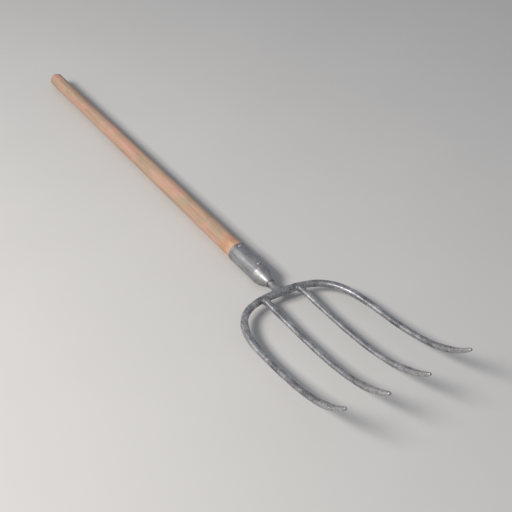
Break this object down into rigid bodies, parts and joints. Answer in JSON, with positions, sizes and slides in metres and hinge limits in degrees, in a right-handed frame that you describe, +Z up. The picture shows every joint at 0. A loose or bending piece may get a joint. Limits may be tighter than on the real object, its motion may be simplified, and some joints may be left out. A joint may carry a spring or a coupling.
{
  "type": "pitchfork",
  "caption": "Farm pitchfork: a straight wooden shaft riveted into a steel ferrule, with a forged head of long upcurved tines on a crossbar.",
  "frame": {"origin": "middle of the tool's length and width, on the ground under the ferrule's rivets", "axes": "+X along the handle towards the tips of the tines, +Y to the left of someone who holds the handle, +Z up, the way the tines curl"},
  "size_m": [1.3258, 0.2554, 0.094],
  "materials": {
    "ash_wood": "worn, hand-polished ash with a faint grey and pink weathering",
    "forged_steel": "dark forged steel, mottled, rubbed bright on the edges and the tips",
    "ferrule_steel": "grey sleeve steel with soft wear marks",
    "rivet_steel": "bright rubbed rivet heads"
  },
  "bodies": {
    "root": {"handle": "ash_wood", "ferrule": "ferrule_steel", "shank": "forged_steel", "crossbar": "forged_steel", "tine_outer_left": "forged_steel", "tine_outer_right": "forged_steel", "tine_inner_left": "forged_steel", "tine_inner_right": "forged_steel", "rivets": "rivet_steel"}
  },
  "joints": []
}
